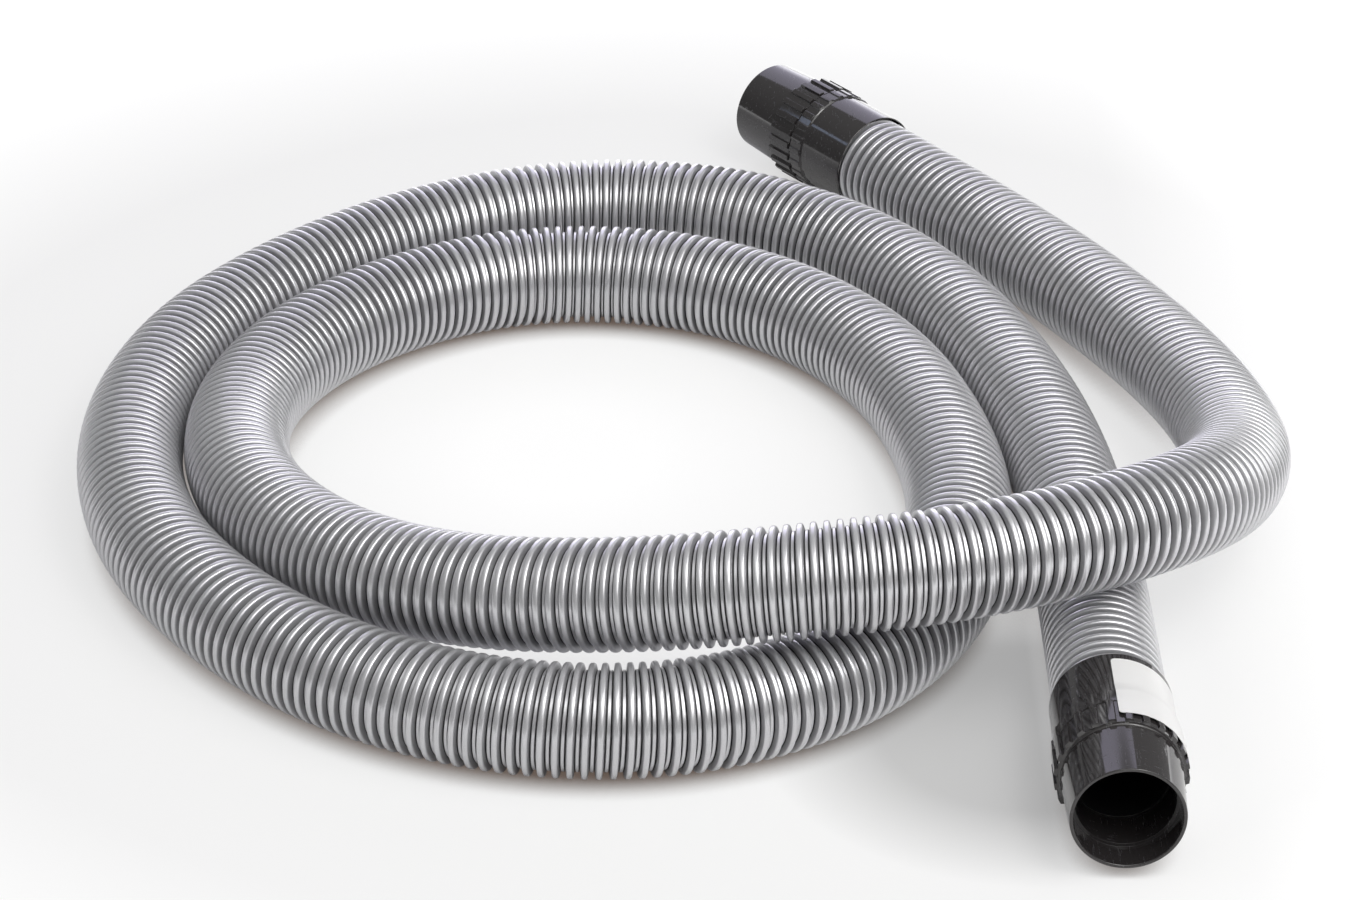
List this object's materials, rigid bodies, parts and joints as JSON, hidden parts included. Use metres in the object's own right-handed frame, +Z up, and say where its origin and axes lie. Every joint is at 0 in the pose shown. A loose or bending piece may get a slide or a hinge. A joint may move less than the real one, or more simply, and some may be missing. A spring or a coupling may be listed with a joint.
{
  "type": "vacuum hose",
  "caption": "Long ribbed suction hose lying in two loose loops, with a hard swivel cuff on each end that pushes onto or into a pipe.",
  "frame": {"origin": "middle of the whole part's outline, on the floor that it lies on", "axes": "+Z up; +X to the right and +Y to the back as seen from the cuff with the label; the longest side runs along Y"},
  "size_m": [0.5266, 0.6488, 0.0978],
  "materials": {
    "hose": "satin silver-grey plastic with a pearly sheen",
    "cuff": "glossy black plastic with fine scratches",
    "bush": "matt black plastic",
    "seal": "matt black rubber",
    "label": "blank white film, satin"
  },
  "bodies": {
    "root": {"hose": "hose", "hose_bush_a": "bush", "hose_bush_b": "bush"},
    "cuff_a": {"nozzle_a": "cuff", "collar_a": "cuff", "seal_ring_a": "seal"},
    "cuff_b": {"nozzle_b": "cuff", "collar_b": "cuff", "seal_ring_b": "seal", "label": "label"}
  },
  "joints": [
    {"name": "cuff_a_swivel", "type": "hinge", "parent": "root", "child": "cuff_a", "pos_m": [0.06956, 0.28377, 0.0265], "axis": [0.6321, -0.7741, -0.0348], "continuous": true},
    {"name": "cuff_b_swivel", "type": "hinge", "parent": "root", "child": "cuff_b", "pos_m": [0.17027, -0.28909, 0.0265], "axis": [0.0138, 0.9993, -0.035], "continuous": true}
  ]
}
